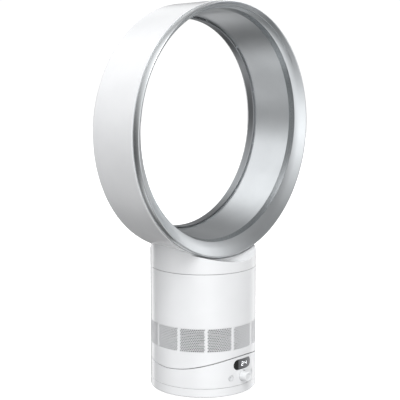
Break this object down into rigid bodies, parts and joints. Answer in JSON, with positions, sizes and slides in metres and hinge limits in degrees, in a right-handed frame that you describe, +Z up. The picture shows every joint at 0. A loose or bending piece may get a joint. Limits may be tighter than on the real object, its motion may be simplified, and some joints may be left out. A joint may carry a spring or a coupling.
{
  "type": "bladeless fan",
  "caption": "Bladeless desk fan: a round air loop on a tilting, swinging cylindrical body with a display, buttons and a speed knob.",
  "frame": {"origin": "middle of the spot the fan stands on, at the underside of its rubber pads", "axes": "+Z up, the fan blows and its controls face towards -Y, +X to the right of someone behind it"},
  "size_m": [0.344, 0.1595, 0.5294],
  "materials": {
    "gloss_white": "smooth glossy white moulding",
    "panel_white": "glossy white, closely pierced",
    "silver_satin": "satin silver lacquer on a moulding",
    "button_white": "light grey moulding",
    "knob_white": "glossy white with a grey face",
    "tinted_window": "dark tinted window",
    "rubber_black": "matte",
    "inner_white": "plain moulding, inside the fan",
    "inner_grey": "glass-filled moulding, inside the fan",
    "slide_black": "low-friction moulding",
    "foam": "open-cell foam",
    "board": "lacquered circuit board",
    "steel": "turned or pressed steel",
    "core_steel": "stacked laminations",
    "copper": "enamelled wire"
  },
  "bodies": {
    "foot": {"base_plate": "gloss_white", "rubber_pads": "rubber_black", "sector_gear": "inner_white", "gear_screws": "steel", "pivot_post": "inner_grey", "post_clip": "steel", "slide_ring": "slide_black", "cord_gland": "rubber_black"},
    "base": {"turntable": "inner_white", "control_shell": "gloss_white", "shell_screws": "steel", "tilt_cradle": "inner_white", "swing_motor": "steel", "motor_screws": "steel", "control_board": "board", "display_module": "inner_grey", "display_window": "tinted_window", "knob_encoder": "steel", "button_switches": "inner_grey"},
    "pinion": {"drive_pinion": "inner_white"},
    "power_key": {"power_button": "button_white"},
    "swing_key": {"swing_button": "button_white"},
    "knob": {"speed_knob": "knob_white"},
    "head": {"body_shell": "gloss_white", "inlet_panels_set": "panel_white", "body_floor": "inner_white", "tilt_hooks": "inner_grey", "motor_board": "board", "board_screws": "steel", "lower_foam": "foam", "mount_ring": "rubber_black", "impeller_housing": "inner_grey", "housing_screws": "steel", "motor_bucket": "inner_white", "motor_cap": "inner_white", "cap_dowels": "steel", "motor_stator": "core_steel", "stator_coils": "copper", "lower_bearing": "steel", "upper_bearing": "steel", "diffuser": "inner_grey", "upper_foam": "foam", "loop_collar": "inner_white", "collar_screws": "steel", "neck_seal": "rubber_black"},
    "rotor": {"impeller": "inner_grey", "drive_shaft": "steel", "rotor_magnet": "core_steel"},
    "loop": {"loop_shell": "gloss_white", "front_ring": "silver_satin", "inner_casing": "silver_satin", "slot_spacers": "silver_satin"}
  },
  "joints": [
    {"name": "swivel", "type": "hinge", "parent": "foot", "child": "base", "pos_m": [0, 0, 0.013], "axis": [0, 0, 1], "range_deg": [-45, 45]},
    {"name": "pinion_spin", "type": "hinge", "parent": "base", "child": "pinion", "pos_m": [0, -0.0375, 0.007], "axis": [0, 0, 1], "range_deg": [-181, 181]},
    {"name": "tilt", "type": "hinge", "parent": "base", "child": "head", "pos_m": [0, 0, 0.2126], "axis": [1, 0, 0], "range_deg": [-10, 10]},
    {"name": "fan_spin", "type": "hinge", "parent": "head", "child": "rotor", "pos_m": [0, 0, 0.13], "axis": [0, 0, 1], "continuous": true},
    {"name": "loop_twist", "type": "hinge", "parent": "head", "child": "loop", "pos_m": [0, 0, 0.1753], "axis": [0, 0, 1], "range_deg": [0, 20]},
    {"name": "power_press", "type": "slide", "parent": "base", "child": "power_key", "axis": [0.2924, 0.9563, 0], "range_m": [0, 0.001], "stiffness_N_per_m": 1500},
    {"name": "swing_press", "type": "slide", "parent": "base", "child": "swing_key", "axis": [-0.2924, 0.9563, 0], "range_m": [0, 0.001], "stiffness_N_per_m": 1500},
    {"name": "knob_turn", "type": "hinge", "parent": "base", "child": "knob", "pos_m": [0, -0.08, 0.0248], "axis": [0, -1, 0], "range_deg": [-135, 135]}
  ],
  "couplings": [
    {"joint": "pinion_spin", "follows": "swivel", "ratio": 4}
  ]
}
